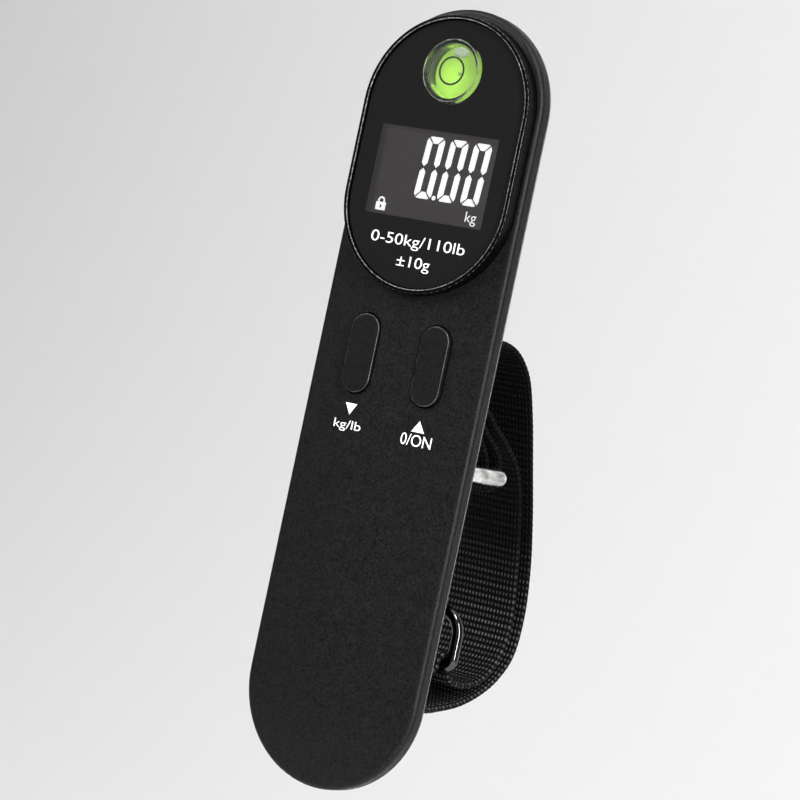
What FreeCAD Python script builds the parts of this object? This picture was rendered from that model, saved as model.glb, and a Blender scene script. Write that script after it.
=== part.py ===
import FreeCAD, Part
import math
import os

V = FreeCAD.Vector

# ---- driving dimensions, millimetres ------------------------------------
# frame: +Z along the body towards the display end, -Y out of the display
# face, +X to the right of someone facing the display; y = 0 is the parting
# plane between the front and rear shells, z = 0 is mid length.
BODY_L = 150.0
BODY_HALF_W = 19.17
FACE_EDGE_Y = -2.96
FACE_CROWN_Y = -4.50
FACE_FILLET = 1.16
WALL = 1.6
HULL_HALF_W = 18.7
HULL_DEPTH = 12.0
HULL_BACK_HALF = 11.1

BEZEL_HALF_W = 18.15
BEZEL_Z = (19.72, 73.20)
BEZEL_TOP_Y = -6.10
BEZEL_BASE_Y = -2.45
LENS_TOP_Y = -5.50
LENS_T = 1.0
LENS_GAP = 0.12
BEZEL_RIM = 0.80

WINDOW_Z = 42.30
LCD_SIZE = (29.4, 22.0)
LCD_Z = 41.50
LCD_Y = (-4.38, -2.55)
BACKLIGHT_Y = (-2.50, -1.50)
PCB_Y = (-1.20, -0.20)
PCB_Z = (-6.2, 53.6)
PCB_HALF_W = 15.0

VIAL_Z = 62.40
VIAL_R = 6.10
VIAL_Y = (-6.70, -1.90)
LIQUID_R = 5.30
BUBBLE_HALF = (1.75, 0.95)
BUBBLE_AT = (1.0, 3.7)

BUTTON_X = 7.85
BUTTON_Z = 7.17
BUTTON_LEN = 15.3
BUTTON_R = 3.10
BUTTON_GAP = 0.30
BUTTON_TOP_Y = -4.85

CELL_Z = 44.0
CELL_R = 10.0
CELL_Y = (7.55, 10.75)
DOOR_R = 10.35
DOOR_Y = (10.95, 12.0)

PIVOT_Y = 7.25
PIVOT_Z = -11.05
ROD_R = 1.7
RING_HALF = 12.1
CROSSBAR_Y = 23.3
CORNER_R = 2.2

BEAM_HALF_W = 6.0
BEAM_Y = (-1.0, 3.0)
BEAM_Z = (-47.0, -7.4)

WEB_W = 20.0
WEB_T = 1.4
HOOK_ROD = 1.1
HOOK_BAR = (20.0, -48.7)
HOOK_EYE_HALF = 11.5
HOOK_EYE_TOP = -37.8
HOOK_SHANK = 1.75
HOOK_THROAT_R = 7.0
LABEL_Z = (20.0, 29.0)
LABEL_HALF_W = 7.5
LABEL_Y = 11.75


# ---- small helpers -------------------------------------------------------
def write(name, solids):
    shapes = solids if isinstance(solids, list) else [solids]
    shape = shapes[0] if len(shapes) == 1 else Part.makeCompound(shapes)
    shape.exportStep("parts/%s.step" % name)


def box(x, y, z):
    return Part.makeBox(x[1] - x[0], y[1] - y[0], z[1] - z[0], V(x[0], y[0], z[0]))


def rod_y(radius, y, x=0.0, z=0.0):
    return Part.makeCylinder(radius, y[1] - y[0], V(x, y[0], z), V(0, 1, 0))


def rod_x(radius, x, y, z):
    return Part.makeCylinder(radius, x[1] - x[0], V(x[0], y, z), V(1, 0, 0))


def stadium(half_w, z, y, x=0.0):
    lo = V(x, y[0], z[0] + half_w)
    hi = V(x, y[0], z[1] - half_w)
    depth = y[1] - y[0]
    body = Part.makeBox(2 * half_w, depth, hi.z - lo.z, V(x - half_w, y[0], lo.z))
    body = body.fuse(Part.makeCylinder(half_w, depth, lo, V(0, 1, 0)))
    body = body.fuse(Part.makeCylinder(half_w, depth, hi, V(0, 1, 0)))
    return body.removeSplitter()


def pill(profile, z_end):
    """A pill swept from a closed half profile in x >= 0, y."""
    face = Part.Face(Part.Wire(profile))
    half = face.copy()
    half.translate(V(0, 0, -z_end))
    side = half.extrude(V(0, 0, 2 * z_end))
    solid = side.fuse(side.mirror(V(0, 0, 0), V(1, 0, 0)))
    for sign in (-1, 1):
        cap = face.copy()
        cap.translate(V(0, 0, sign * z_end))
        cap = cap.revolve(V(0, 0, sign * z_end), V(0, 1, 0), -180 * sign)
        solid = solid.fuse(cap)
    return solid.removeSplitter()


def line(a, b):
    return Part.LineSegment(V(a[0], a[1], 0), V(b[0], b[1], 0)).toShape()


def arc(a, m, b):
    return Part.Arc(V(*a, 0), V(*m, 0), V(*b, 0)).toShape()


def crown_y(x, inset=0.0):
    rise = FACE_EDGE_Y - FACE_CROWN_Y
    reach = BODY_HALF_W - FACE_FILLET
    return FACE_CROWN_Y + inset + rise * (x / reach) ** 2


def front_profile(inset, back_y):
    half = BODY_HALF_W - inset
    fillet = max(FACE_FILLET - inset, 0.3)
    edge = half - fillet
    edge_y = FACE_EDGE_Y + inset
    mid = fillet * (1 - math.sqrt(0.5))
    return [
        line((0, back_y), (half, back_y)),
        line((half, back_y), (half, edge_y + fillet)),
        arc((half, edge_y + fillet), (half - mid, edge_y + mid), (edge, edge_y)),
        arc((edge, edge_y), (edge / 2, crown_y(edge / 2, inset)), (0, FACE_CROWN_Y + inset)),
        line((0, FACE_CROWN_Y + inset), (0, back_y)),
    ]


def rear_profile(inset, front_y):
    half = HULL_HALF_W - inset
    back = HULL_DEPTH - inset
    flat = HULL_BACK_HALF - inset * 0.6
    knee = (flat + 0.75, back - 0.75)
    return [
        line((0, front_y), (half, front_y)),
        line((half, front_y), knee),
        arc(knee, (flat + 0.48, back - 0.2), (flat, back)),
        line((flat, back), (0, back)),
        line((0, back), (0, front_y)),
    ]


# ---- case ----------------------------------------------------------------
CASE_SCREWS = [(-11.5, 19.0), (11.5, 19.0), (-11.5, -28.0), (11.5, -28.0), (0.0, -62.0)]
SCREW_SEAT_Y = 4.2
PCB_SCREWS = [(-12.6, 0.0), (12.6, 0.0)]


def front_shell():
    end = BODY_L / 2 - BODY_HALF_W
    shell = pill(front_profile(0.0, 0.0), end)
    shell = shell.cut(pill(front_profile(WALL, 0.1), end))
    rebate = (BEZEL_Z[0] - 0.1, BEZEL_Z[1] + 0.1)
    shell = shell.cut(stadium(BEZEL_HALF_W + 0.1, rebate, (-7.0, BEZEL_BASE_Y)))
    ledge = (BEZEL_Z[0] + 1.4, BEZEL_Z[1] - 1.4)
    shell = shell.cut(stadium(BEZEL_HALF_W - 1.4, ledge, (-7.0, 0.0)))
    for x in (-BUTTON_X, BUTTON_X):
        half = BUTTON_LEN / 2 + BUTTON_GAP
        span = (BUTTON_Z - half, BUTTON_Z + half)
        shell = shell.cut(stadium(BUTTON_R + BUTTON_GAP, span, (-7.0, 0.0), x))
    for x, z in CASE_SCREWS:
        top = -2.6 if abs(x) > 1 else -3.4
        boss = rod_y(2.5, (top, -0.05), x, z)
        shell = shell.fuse(boss)
    for x, z in CASE_SCREWS:
        shell = shell.cut(rod_y(1.05, (-1.0, 0.0), x, z))
    for x, z in PCB_SCREWS:
        shell = shell.fuse(rod_y(1.9, (-2.4, PCB_Y[0]), x, z))
    outer = pill(front_profile(0.0, 0.0), end)
    return shell.common(outer).removeSplitter()


def rear_shell():
    end = BODY_L / 2 - BODY_HALF_W
    solid = pill(rear_profile(0.0, 0.0), end)
    cavity = pill(rear_profile(WALL, -0.1), end)
    shell = solid.cut(cavity)
    adds = []
    adds.append(rod_y(CELL_R + 1.9, (5.6, 11.5), 0, CELL_Z))
    adds.append(box((-15.5, 15.5), (3.6, 11.5), (PIVOT_Z - 5.7, PIVOT_Z + 5.7)))
    adds.append(box((-6.0, 6.0), (BEAM_Y[1], 11.0), (-47.0, -38.5)))
    for x, z in CASE_SCREWS:
        adds.append(rod_y(3.0, (0.0, 11.5), x, z))
    for item in adds:
        shell = shell.fuse(item.common(solid))
    # coin cell cup, open to the back, with a groove for the bayonet lugs
    shell = shell.cut(rod_y(CELL_R + 0.2, (6.5, 13.0), 0, CELL_Z))
    shell = shell.cut(rod_y(DOOR_R + 0.2, (10.85, 13.0), 0, CELL_Z))
    shell = shell.cut(rod_y(DOOR_R + 0.75, (9.75, 10.85), 0, CELL_Z))
    # channel for the shackle and its stirrup
    channel = (PIVOT_Z - 3.6, PIVOT_Z + 3.6)
    shell = shell.cut(box((-25.0, 25.0), (4.9, 13.0), channel))
    shell = shell.cut(box((-5.4, 5.4), (3.0, 6.0), channel))
    # shallow seat for the rating label
    seat = box((-LABEL_HALF_W, LABEL_HALF_W), (LABEL_Y, 13.0), LABEL_Z)
    seat = seat.makeFillet(1.2, [e for e in seat.Edges if e.BoundBox.YLength > 1.0])
    shell = shell.cut(seat)
    for x, z in CASE_SCREWS:
        shell = shell.cut(rod_y(1.45, (-0.1, 13.0), x, z))
        shell = shell.cut(rod_y(2.45, (SCREW_SEAT_Y, 13.0), x, z))
    for x in (-3.2, 3.2):
        shell = shell.cut(rod_y(1.25, (2.9, 8.0), x, -43.0))
    return shell.removeSplitter()


def case_screws():
    screws = []
    for x, z in CASE_SCREWS:
        head = rod_y(2.2, (SCREW_SEAT_Y, SCREW_SEAT_Y + 1.6), x, z)
        slot_a = box((x - 1.5, x + 1.5), (SCREW_SEAT_Y + 0.8, SCREW_SEAT_Y + 2), (z - 0.3, z + 0.3))
        slot_b = box((x - 0.3, x + 0.3), (SCREW_SEAT_Y + 0.8, SCREW_SEAT_Y + 2), (z - 1.5, z + 1.5))
        shank = rod_y(1.0, (-0.9, SCREW_SEAT_Y), x, z)
        screws.append(head.fuse(shank).cut(slot_a).cut(slot_b))
    return screws


# ---- display -------------------------------------------------------------
def display_bezel():
    skirt = stadium(BEZEL_HALF_W, BEZEL_Z, (BEZEL_TOP_Y, BEZEL_BASE_Y))
    rim = [e for e in skirt.Edges if abs(e.BoundBox.YMax - BEZEL_TOP_Y) < 0.01]
    body = skirt.makeFillet(0.35, rim)
    pocket = (BEZEL_Z[0] + BEZEL_RIM, BEZEL_Z[1] - BEZEL_RIM)
    floor_y = LENS_TOP_Y + LENS_T
    body = body.cut(stadium(BEZEL_HALF_W - BEZEL_RIM, pocket, (-7.0, floor_y)))
    hollow = (BEZEL_Z[0] + 1.6, BEZEL_Z[1] - 1.6)
    body = body.cut(stadium(BEZEL_HALF_W - 1.6, hollow, (-3.4, 0.0)))
    half_w = LCD_SIZE[0] / 2 + 0.25
    half_h = LCD_SIZE[1] / 2 + 0.25
    body = body.cut(box((-half_w, half_w), (-7.0, 0.0), (LCD_Z - half_h, LCD_Z + half_h)))
    body = body.cut(rod_y(VIAL_R + 0.15, (-7.0, 0.0), 0, VIAL_Z))
    return body.removeSplitter()


def display_lens():
    trim = BEZEL_RIM + LENS_GAP
    span = (BEZEL_Z[0] + trim, BEZEL_Z[1] - trim)
    lens = stadium(BEZEL_HALF_W - trim, span, (LENS_TOP_Y, LENS_TOP_Y + LENS_T))
    rim = [e for e in lens.Edges if abs(e.BoundBox.YMax - LENS_TOP_Y) < 0.01]
    lens = lens.makeChamfer(0.2, rim)
    return lens.cut(rod_y(VIAL_R + 0.12, (-7.0, 0.0), 0, VIAL_Z))


def lcd_parts():
    half_w = LCD_SIZE[0] / 2
    half_h = LCD_SIZE[1] / 2
    panel = box((-half_w, half_w), LCD_Y, (LCD_Z - half_h, LCD_Z + half_h))
    light = box((-half_w, half_w), BACKLIGHT_Y, (LCD_Z - half_h + 2.2, LCD_Z + half_h))
    light = light.fuse(box((half_w - 2, half_w), (-1.5, PCB_Y[0]), (LCD_Z + 4, LCD_Z + 8)))
    light = light.fuse(box((-half_w, -half_w + 2), (-1.5, PCB_Y[0]), (LCD_Z + 4, LCD_Z + 8)))
    z0 = LCD_Z - half_h + 0.2
    strip = box((-13.0, 13.0), (LCD_Y[1], PCB_Y[0]), (z0, z0 + 1.6))
    return panel, light, strip


# ---- bubble level --------------------------------------------------------
def level_parts():
    vial = rod_y(VIAL_R, VIAL_Y, 0, VIAL_Z)
    rim = [e for e in vial.Edges if abs(e.BoundBox.YMax - VIAL_Y[0]) < 0.01]
    vial = vial.makeFillet(0.45, rim)
    vial = vial.cut(rod_y(LIQUID_R + 0.02, (-6.10, -2.28), 0, VIAL_Z))
    liquid = rod_y(LIQUID_R, (-5.22, -2.83), 0, VIAL_Z)
    base = rod_y(LIQUID_R, (-2.80, -2.30), 0, VIAL_Z)
    ring = rod_y(2.78, (-6.09, -6.02), 0, VIAL_Z)
    ring = ring.cut(rod_y(2.42, (-6.2, -6.0), 0, VIAL_Z))
    outline = Part.Ellipse(V(0, 0, 0), *BUBBLE_HALF).toShape()
    outline.rotate(V(0, 0, 0), V(1, 0, 0), 90)
    outline.translate(V(BUBBLE_AT[0], -5.98, VIAL_Z + BUBBLE_AT[1]))
    bubble = Part.Face(Part.Wire(outline)).extrude(V(0, 0.72, 0))
    bubble = bubble.makeFillet(0.3, bubble.Edges)
    cup = rod_y(VIAL_R + 1.3, (-3.35, -1.05), 0, VIAL_Z)
    cup = cup.cut(rod_y(VIAL_R + 0.12, (-4.0, VIAL_Y[1]), 0, VIAL_Z))
    return vial, liquid, base, ring, bubble, cup


# ---- buttons and board ---------------------------------------------------
def button_cap(x):
    half = BUTTON_LEN / 2
    cap = stadium(BUTTON_R, (BUTTON_Z - half, BUTTON_Z + half), (BUTTON_TOP_Y, -1.95), x)
    rim = [e for e in cap.Edges if abs(e.BoundBox.YMax - BUTTON_TOP_Y) < 0.01]
    cap = cap.makeFillet(0.35, rim)
    flange = stadium(BUTTON_R, (BUTTON_Z - half - 1.2, BUTTON_Z + half + 1.2), (-2.17, -1.95), x)
    return cap.fuse(flange).removeSplitter()


def switch(x):
    body = box((x - 2.6, x + 2.6), (-1.50, PCB_Y[0]), (BUTTON_Z - 2.6, BUTTON_Z + 2.6))
    return body.fuse(rod_y(1.3, (-1.60, -1.45), x, BUTTON_Z)).removeSplitter()


def main_pcb():
    board = box((-PCB_HALF_W, PCB_HALF_W), PCB_Y, PCB_Z)
    corners = [e for e in board.Edges if abs(e.BoundBox.YLength - 1.0) < 0.01]
    board = board.makeFillet(2.0, corners)
    for x, z in CASE_SCREWS:
        board = board.cut(rod_y(3.2, (-2.0, 1.0), x, z))
    for x, z in PCB_SCREWS:
        board = board.cut(rod_y(0.9, (-2.0, 1.0), x, z))
    return board


def pcb_components():
    back = PCB_Y[1]
    parts = [
        box((-4.0, 4.0), (back, back + 1.2), (14.0, 22.0)),
        box((-12.0, -9.0), (back, back + 1.0), (6.0, 11.0)),
        box((8.5, 11.5), (back, back + 2.2), (-1.0, 9.0)),
        box((-3.0, 2.0), (back, back + 1.4), (-3.0, 3.0)),
        box((-10.0, -6.0), (back, back + 2.4), (-5.5, -3.0)),
    ]
    for i in range(6):
        z = 24.5 + 1.2 * i
        parts.append(box((-7.5, -6.0), (back, back + 0.5), (z, z + 0.7)))
        parts.append(box((6.0, 7.5), (back, back + 0.5), (z, z + 0.7)))
    return parts


# ---- load path -----------------------------------------------------------
def load_cell():
    beam = box((-BEAM_HALF_W, BEAM_HALF_W), BEAM_Y, BEAM_Z)
    mid = (BEAM_Y[0] + BEAM_Y[1]) / 2
    for z in (-23.0, -32.0):
        beam = beam.cut(rod_x(1.45, (-7, 7), mid, z))
    beam = beam.cut(box((-7, 7), (mid - 0.6, mid + 0.6), (-32.0, -23.0)))
    for x in (-3.2, 3.2):
        beam = beam.cut(rod_y(1.6, (-2, 4), x, -43.0))
    return beam.cut(rod_y(1.6, (-2, 4), 0, PIVOT_Z))


def load_cell_screws():
    screws = []
    for x in (-3.2, 3.2):
        shank = rod_y(1.2, (BEAM_Y[0], 7.6), x, -43.0)
        screws.append(rod_y(2.3, (BEAM_Y[0] - 1.3, BEAM_Y[0]), x, -43.0).fuse(shank))
    return screws


def strain_gauges():
    gauges = []
    for z in (-23.0, -32.0):
        gauges.append(box((-2.4, 2.4), (BEAM_Y[0] - 0.25, BEAM_Y[0]), (z - 2.0, z + 2.0)))
        gauges.append(box((-2.4, 2.4), (BEAM_Y[1], BEAM_Y[1] + 0.25), (z - 2.0, z + 2.0)))
    return gauges


def stirrup():
    block = box((-5.0, 5.0), (BEAM_Y[1], 9.9), (PIVOT_Z - 3.2, PIVOT_Z + 3.2))
    long_edges = [e for e in block.Edges if e.BoundBox.XLength > 5 and e.BoundBox.YMin > 9]
    block = block.makeFillet(2.4, long_edges)
    block = block.cut(rod_x(ROD_R + 0.06, (-6, 6), PIVOT_Y, PIVOT_Z))
    return block.cut(rod_y(1.3, (2.0, 5.1), 0, PIVOT_Z))


def stirrup_screw():
    head = rod_y(2.5, (BEAM_Y[0] - 1.3, BEAM_Y[0]), 0, PIVOT_Z)
    return head.fuse(rod_y(1.25, (BEAM_Y[0], 4.9), 0, PIVOT_Z))


def gauge_wires():
    wires = []
    for i, x in enumerate((-4.6, -3.7, 3.7, 4.6)):
        wires.append(rod_z(0.3, x, -1.55, (-21.0 - i, -5.4)))
    return wires


def rod_z(radius, x, y, z):
    return Part.makeCylinder(radius, z[1] - z[0], V(x, y, z[0]), V(0, 0, 1))


def shackle_ring():
    """A closed rectangular ring of round bar, pivoting on its inner bar."""
    r = CORNER_R
    z = PIVOT_Z
    corners = [(-1, PIVOT_Y), (1, PIVOT_Y), (1, CROSSBAR_Y), (-1, CROSSBAR_Y)]
    edges = []
    inner = RING_HALF - r
    y0 = PIVOT_Y + r
    y1 = CROSSBAR_Y - r
    k = r * (1 - math.sqrt(0.5))
    pts = [
        ((-inner, PIVOT_Y), (inner, PIVOT_Y), (RING_HALF - k, PIVOT_Y + k), (RING_HALF, y0)),
        ((RING_HALF, y0), (RING_HALF, y1), (RING_HALF - k, CROSSBAR_Y - k), (inner, CROSSBAR_Y)),
        ((inner, CROSSBAR_Y), (-inner, CROSSBAR_Y), (-RING_HALF + k, CROSSBAR_Y - k), (-RING_HALF, y1)),
        ((-RING_HALF, y1), (-RING_HALF, y0), (-RING_HALF + k, PIVOT_Y + k), (-inner, PIVOT_Y)),
    ]
    for a, b, m, c in pts:
        edges.append(Part.LineSegment(V(*a, z), V(*b, z)).toShape())
        edges.append(Part.Arc(V(*b, z), V(*m, z), V(*c, z)).toShape())
    path = Part.Wire(edges)
    circle = Part.Wire(Part.makeCircle(ROD_R, V(0, PIVOT_Y, z), V(1, 0, 0)))
    return sweep_closed(path, circle)


def sweep_closed(path, circle):
    start = path.Edges[0].valueAt(path.Edges[0].FirstParameter)
    circle = circle.copy()
    circle.translate(V(start.x, 0, 0))
    shell = path.makePipeShell([circle], True, False)
    solid = Part.Solid(Part.Shell(shell.Faces)) if shell.ShapeType != "Solid" else shell
    return solid


# ---- webbing and hook ----------------------------------------------------
def arc_points(centre, radius, start, stop, count):
    points = []
    for i in range(count + 1):
        a = math.radians(start + (stop - start) * i / count)
        points.append((centre[0] + radius * math.cos(a), centre[1] + radius * math.sin(a)))
    return points


def web_path():
    """Centre line of the looped webbing in (y, z), closed, from the crossbar."""
    bar = (CROSSBAR_Y, PIVOT_Z)
    wrap = ROD_R + WEB_T / 2 + 0.12
    grip = HOOK_ROD + WEB_T / 2 + 0.38
    points = arc_points(bar, wrap, 0, -180, 8)
    points += [
        (bar[0] - wrap, bar[1] + 1.55),
        (19.6, -7.2),
        (17.2, -4.9),
        (14.9, -2.9),
        (13.8, -0.4),
        (13.6, 2.8),
        (13.6, 8.5),
        (13.9, 11.8),
        (15.3, 13.8),
        (17.4, 14.5),
        (19.6, 14.5),
        (23.1, 13.7),
        (26.6, 11.8),
        (29.9, 8.8),
        (34.1, 1.3),
        (38.35, -8.4),
        (42.5, -18.2),
        (45.9, -28.2),
        (47.5, -38.0),
        (46.4, -45.8),
        (42.5, -50.3),
        (37.6, -53.3),
        (30.0, -56.0),
        (22.4, -57.2),
        (16.8, -57.5),
        (14.2, -56.2),
        (14.0, -53.2),
        (15.6, -50.9),
    ]
    points += arc_points(HOOK_BAR, grip, 190, -10, 8)
    points += [
        (23.4, -51.2),
        (28.0, -52.4),
        (34.0, -51.9),
        (38.0, -50.0),
        (41.2, -46.6),
        (42.8, -42.2),
        (42.8, -37.0),
        (41.4, -30.4),
        (38.9, -21.8),
        (36.0, -13.9),
        (33.5, -9.7),
        (31.1, -7.2),
        (28.2, -5.2),
        (24.8, -3.2),
        (20.6, -1.1),
        (18.4, 0.5),
        (16.9, 1.2),
        (15.75, 0.6),
        (15.7, -0.8),
        (17.0, -2.0),
        (19.6, -3.6),
        (22.6, -5.3),
        (24.9, -7.3),
        (bar[0] + wrap, bar[1] + 1.55),
    ]
    return points


def strap():
    points = [V(0, y, z) for y, z in web_path()]
    curve = Part.BSplineCurve()
    curve.interpolate(points, PeriodicFlag=True)
    count = 320
    first, last = curve.FirstParameter, curve.LastParameter
    outer, inner = [], []
    for i in range(count):
        u = first + (last - first) * i / count
        p = curve.value(u)
        t = curve.tangent(u)[0]
        n = V(0, -t.z, t.y)
        outer.append(p + n * (WEB_T / 2))
        inner.append(p - n * (WEB_T / 2))
    wires = []
    for loop in (outer, inner):
        ring = Part.BSplineCurve()
        ring.interpolate(loop, PeriodicFlag=True)
        wires.append(Part.Wire(ring.toShape()))
    band = Part.makeFace(wires, "Part::FaceMakerBullseye")
    band.translate(V(-WEB_W / 2, 0, 0))
    return band.extrude(V(WEB_W, 0, 0)).Solids[0]


def sweep_bar(edges, radius, closed):
    """Round bar swept along joined edges that start on the X axis direction."""
    path = Part.Wire(edges)
    first = edges[0]
    start = first.valueAt(first.FirstParameter)
    ahead = first.tangentAt(first.FirstParameter)
    circle = Part.Wire(Part.makeCircle(radius, start, ahead))
    shape = path.makePipeShell([circle], True, False)
    solid = shape if shape.ShapeType == "Solid" else Part.Solid(Part.Shell(shape.Faces))
    if not closed:
        end = edges[-1].valueAt(edges[-1].LastParameter)
        solid = solid.fuse(Part.makeSphere(radius, end)).fuse(Part.makeSphere(radius, start))
    return solid


def hook():
    """Wire eye for the webbing, a shank, and an open J beside it."""
    y, low = HOOK_BAR
    top = HOOK_EYE_TOP
    h = HOOK_EYE_HALF
    k = 1 - math.sqrt(0.5)
    r, q = 1.8, 5.0

    def at(x, z):
        return V(x, y, z)

    def line_to(a, b):
        return Part.LineSegment(a, b).toShape()

    def bend(a, m, b):
        return Part.Arc(a, m, b).toShape()

    eye = [
        line_to(at(-h + r, low), at(h - r, low)),
        bend(at(h - r, low), at(h - k * r, low + k * r), at(h, low + r)),
        line_to(at(h, low + r), at(h, top - q)),
        bend(at(h, top - q), at(h - k * q, top - k * q), at(h - q, top)),
        line_to(at(h - q, top), at(-h + q, top)),
        bend(at(-h + q, top), at(-h + k * q, top - k * q), at(-h, top - q)),
        line_to(at(-h, top - q), at(-h, low + r)),
        bend(at(-h, low + r), at(-h + k * r, low + k * r), at(-h + r, low)),
    ]
    body = sweep_bar(eye, HOOK_ROD, True)
    t = HOOK_THROAT_R
    rise = top + 7.8
    stem = [
        line_to(at(0, top), at(0, rise)),
        bend(at(0, rise), at(-t, rise + t), at(-2 * t, rise)),
        line_to(at(-2 * t, rise), at(-2 * t, rise - 3.5)),
    ]
    return body.fuse(sweep_bar(stem, HOOK_SHANK, False)).removeSplitter()


def battery_parts():
    cell = rod_y(CELL_R, CELL_Y, 0, CELL_Z)
    cell = cell.makeFillet(0.35, cell.Edges)
    plus = rod_y(4.0, (6.55, 7.1), 0, CELL_Z)
    plus = plus.fuse(rod_y(1.4, (7.1, CELL_Y[0]), 0, CELL_Z))
    plus = plus.fuse(box((-1.2, 1.2), (6.55, 7.1), (CELL_Z - 9.0, CELL_Z)))
    door = rod_y(DOOR_R, DOOR_Y, 0, CELL_Z)
    lugs = rod_y(DOOR_R + 0.5, (10.0, 10.7), 0, CELL_Z).cut(rod_y(DOOR_R - 0.15, (9.0, 11.0), 0, CELL_Z))
    keep = box((-20, 20), (9, 12), (CELL_Z - 2.5, CELL_Z + 2.5))
    lugs = lugs.common(keep)
    neck = rod_y(DOOR_R, (10.0, 11.0), 0, CELL_Z).cut(rod_y(CELL_R + 0.1, (9.0, 11.2), 0, CELL_Z))
    door = door.fuse(neck).fuse(lugs)
    door = door.cut(stadium(1.1, (CELL_Z - 6.5, CELL_Z + 6.5), (DOOR_Y[1] - 0.7, 13.0)))
    return cell, plus, door.removeSplitter()


def main():
    os.makedirs("parts", exist_ok=True)
    write("front_shell", front_shell())
    write("rear_shell", rear_shell())
    write("case_screws", case_screws())
    write("display_bezel", display_bezel())
    write("display_lens", display_lens())
    panel, light, strip = lcd_parts()
    write("lcd_panel", panel)
    write("lcd_backlight", light)
    write("lcd_zebra_strip", strip)
    names = ["level_vial", "level_liquid", "level_base", "level_target_ring", "level_bubble", "vial_retainer"]
    for name, shape in zip(names, level_parts()):
        write(name, shape)
    write("unit_button_cap", button_cap(-BUTTON_X))
    write("power_button_cap", button_cap(BUTTON_X))
    write("unit_switch", switch(-BUTTON_X))
    write("power_switch", switch(BUTTON_X))
    write("main_pcb", main_pcb())
    write("pcb_components", pcb_components())
    write("load_cell", load_cell())
    write("load_cell_screws", load_cell_screws())
    write("strain_gauges", strain_gauges())
    write("stirrup", stirrup())
    write("stirrup_screw", stirrup_screw())
    write("gauge_wires", gauge_wires())
    write("shackle_ring", shackle_ring())
    write("strap", strap())
    write("hook", hook())
    cell, plus, door = battery_parts()
    write("coin_cell", cell)
    write("battery_contact", plus)
    write("battery_door", door)


main()
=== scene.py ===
import math

import bmesh
import bpy
from mathutils import Matrix, Vector


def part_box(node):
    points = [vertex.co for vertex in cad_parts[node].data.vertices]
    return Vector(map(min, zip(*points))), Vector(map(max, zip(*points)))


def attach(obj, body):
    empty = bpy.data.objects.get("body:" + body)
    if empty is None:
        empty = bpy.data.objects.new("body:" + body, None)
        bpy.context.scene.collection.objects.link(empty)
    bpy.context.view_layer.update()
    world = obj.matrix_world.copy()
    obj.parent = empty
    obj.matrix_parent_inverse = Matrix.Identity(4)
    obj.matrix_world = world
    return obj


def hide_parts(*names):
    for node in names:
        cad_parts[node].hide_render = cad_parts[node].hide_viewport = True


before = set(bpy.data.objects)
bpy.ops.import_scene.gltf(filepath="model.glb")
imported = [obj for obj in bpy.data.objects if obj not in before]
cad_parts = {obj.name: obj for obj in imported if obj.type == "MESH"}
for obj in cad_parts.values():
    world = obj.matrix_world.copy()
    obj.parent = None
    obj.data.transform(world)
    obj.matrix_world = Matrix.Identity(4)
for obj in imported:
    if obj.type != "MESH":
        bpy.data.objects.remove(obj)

bl_info = {
    "name": "Luggage Scale Finish",
    "version": (1, 0, 0),
    "blender": (4, 5, 0),
    "location": "View3D > Sidebar > Luggage Scale",
    "description": "Finishes, webbing, display marks and studio for a digital luggage scale",
    "category": "Object",
}

MM = 0.001

BODY_HALF_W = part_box("front_shell")[1][0]
BODY_TOP_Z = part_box("front_shell")[1][2]
LENS_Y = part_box("display_lens")[0][1]
LCD_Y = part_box("lcd_panel")[0][1]
FACE_EDGE_Y = -2.96 * MM
FACE_CROWN_Y = -4.50 * MM
FACE_FLAT_HALF = 18.01 * MM
BUTTON_FLANGE = 1.2 * MM
LABEL_SIZE = (14.4 * MM, 0.12 * MM, 8.4 * MM)
LABEL_CENTRE = (0.0, 11.82 * MM, 24.5 * MM)
TARGET_SHIFT = (0.04 * MM, -0.05 * MM)
WINDOW_CENTRE = (0.0, 42.34 * MM)
WINDOW_HALF = (13.0 * MM, 8.55 * MM)


# ---- settings a user would change -----------------------------------------
class ShellSettings(bpy.types.PropertyGroup):
    shell_colour: bpy.props.FloatVectorProperty(
        name="Shell colour", description="Colour of the grained case", subtype="COLOR",
        size=3, min=0.0, max=1.0, default=(0.0042, 0.0042, 0.0045))
    grain_size: bpy.props.FloatProperty(
        name="Grain size", description="Width of one grain of the moulded texture",
        default=0.00042, min=0.0001, max=0.003, unit="LENGTH", precision=5)
    bead_radius: bpy.props.FloatProperty(
        name="Seam bead", description="Radius of the bead along the parting line",
        default=0.00020, min=0.00005, max=0.001, unit="LENGTH", precision=5)


class DisplaySettings(bpy.types.PropertyGroup):
    digit_height: bpy.props.FloatProperty(
        name="Digit height", description="Height of the reading", default=0.01190,
        min=0.004, max=0.016, unit="LENGTH")
    digit_width: bpy.props.FloatProperty(
        name="Digit width", description="Width of one digit", default=0.00395,
        min=0.002, max=0.008, unit="LENGTH")
    digit_pitch: bpy.props.FloatProperty(
        name="Digit pitch", description="Distance from one digit to the next",
        default=0.00520, min=0.003, max=0.01, unit="LENGTH")
    stroke: bpy.props.FloatProperty(
        name="Stroke", description="Width of a segment", default=0.00124,
        min=0.0003, max=0.003, unit="LENGTH")
    slant: bpy.props.FloatProperty(
        name="Slant", description="Lean of the digits", default=math.radians(3.2),
        min=0.0, max=0.4, subtype="ANGLE")
    lit_colour: bpy.props.FloatVectorProperty(
        name="Lit colour", description="Colour of the lit segments and printed marks",
        subtype="COLOR", size=3, min=0.0, max=1.0, default=(1.0, 1.0, 1.0))


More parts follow.
